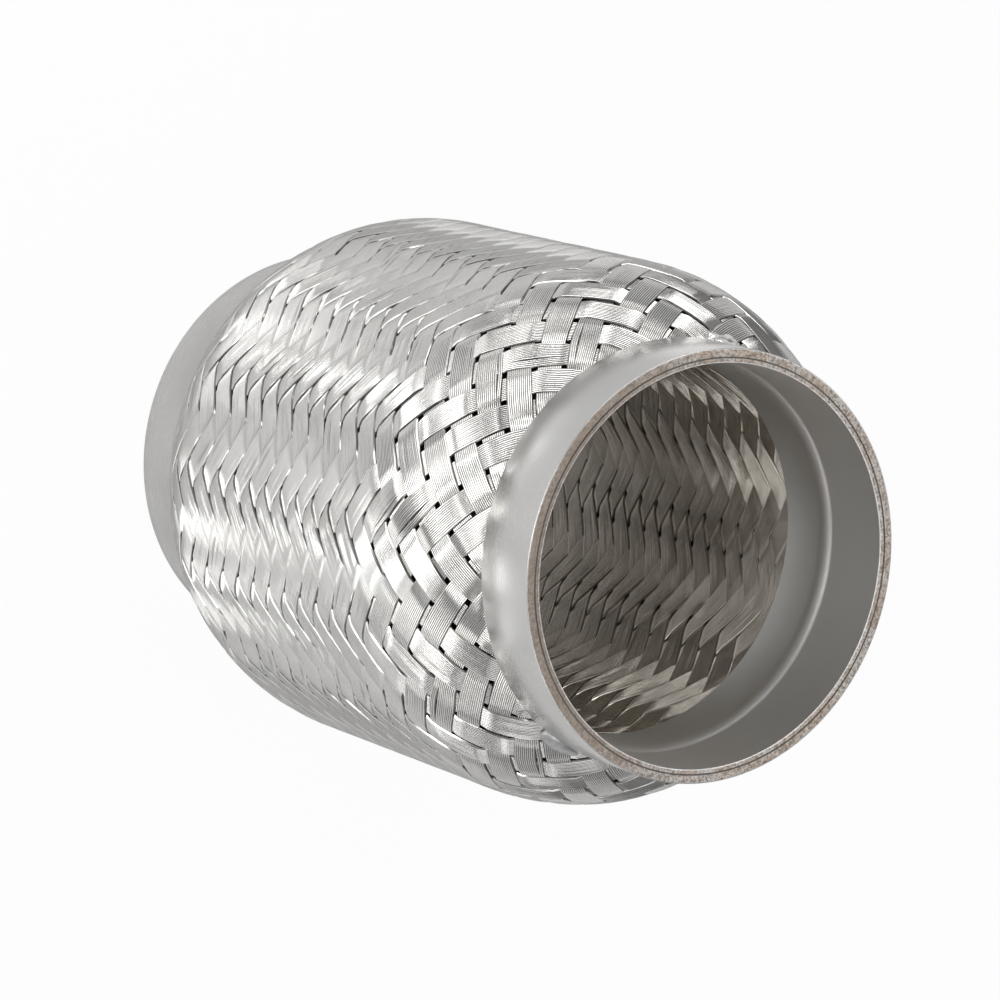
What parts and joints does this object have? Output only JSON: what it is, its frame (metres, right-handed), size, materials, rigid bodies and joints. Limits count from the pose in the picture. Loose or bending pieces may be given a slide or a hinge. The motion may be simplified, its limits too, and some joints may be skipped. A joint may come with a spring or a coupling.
{
  "type": "exhaust flex pipe",
  "caption": "Flexible exhaust coupling: a barrel-shaped woven wire braid over a thin bellows, with a plain collar and an inner sleeve at each end.",
  "frame": {"origin": "on the axis, in the plane of the rear rim that the coupling stands on", "axes": "+Z along the axis from the rear rim to the front rim; +X and +Y across it, with the first front tack weld 13 degrees clockwise of +X seen from the front"},
  "size_m": [0.0888, 0.0888, 0.1225],
  "materials": {
    "collar": "satin stainless sheet",
    "sleeve": "satin stainless sheet, heat tinted at the rim",
    "bellows": "dull stainless foil",
    "outer_braid": "bright stainless wire",
    "inner_braid": "dull stainless wire",
    "tack_weld": "melted weld bead"
  },
  "bodies": {
    "root": {"front_collar": "collar", "rear_collar": "collar", "front_sleeve": "sleeve", "rear_sleeve": "sleeve", "bellows": "bellows", "outer_braid": "outer_braid", "inner_braid": "inner_braid", "front_tack_weld_1": "tack_weld", "rear_tack_weld_1": "tack_weld", "front_tack_weld_2": "tack_weld", "rear_tack_weld_2": "tack_weld"}
  },
  "joints": []
}
